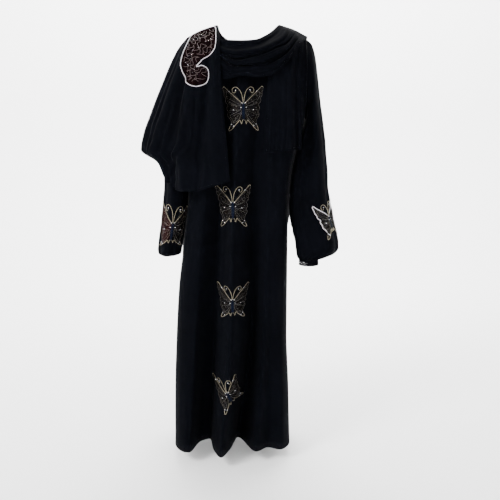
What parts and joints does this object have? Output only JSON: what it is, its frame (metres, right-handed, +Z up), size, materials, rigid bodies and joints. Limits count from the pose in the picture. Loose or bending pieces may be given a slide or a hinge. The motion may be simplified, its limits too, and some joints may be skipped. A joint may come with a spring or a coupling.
{
  "type": "abaya",
  "caption": "Full-length black crepe abaya in worn form, with long gathered sleeves, sheer butterfly appliques and an embroidered shawl layer wound across the neck.",
  "frame": {"origin": "centre of the neck opening, level with the upper edge of the front collar line; the garment is held by its shoulders", "axes": "+Z up along the garment's length, -Y the way the front faces, -X the wearer's right"},
  "size_m": [0.6671, 0.357, 1.4371],
  "materials": {
    "crepe": "matte",
    "sheer": "satin",
    "paisley_cloth": "satin"
  },
  "bodies": {
    "root": {"gown_front": "crepe", "gown_back": "crepe", "sleeve_left": "crepe", "sleeve_right": "crepe", "cuff_left": "crepe", "cuff_right": "crepe", "shawl_end_right": "crepe", "shawl_cowl": "crepe", "shawl_end_left": "crepe", "shawl_back": "crepe", "butterfly_1": "sheer", "butterfly_2": "sheer", "butterfly_3": "sheer", "butterfly_4": "sheer", "butterfly_sleeve_right": "sheer", "butterfly_sleeve_left": "sheer", "paisley": "paisley_cloth"}
  },
  "joints": []
}
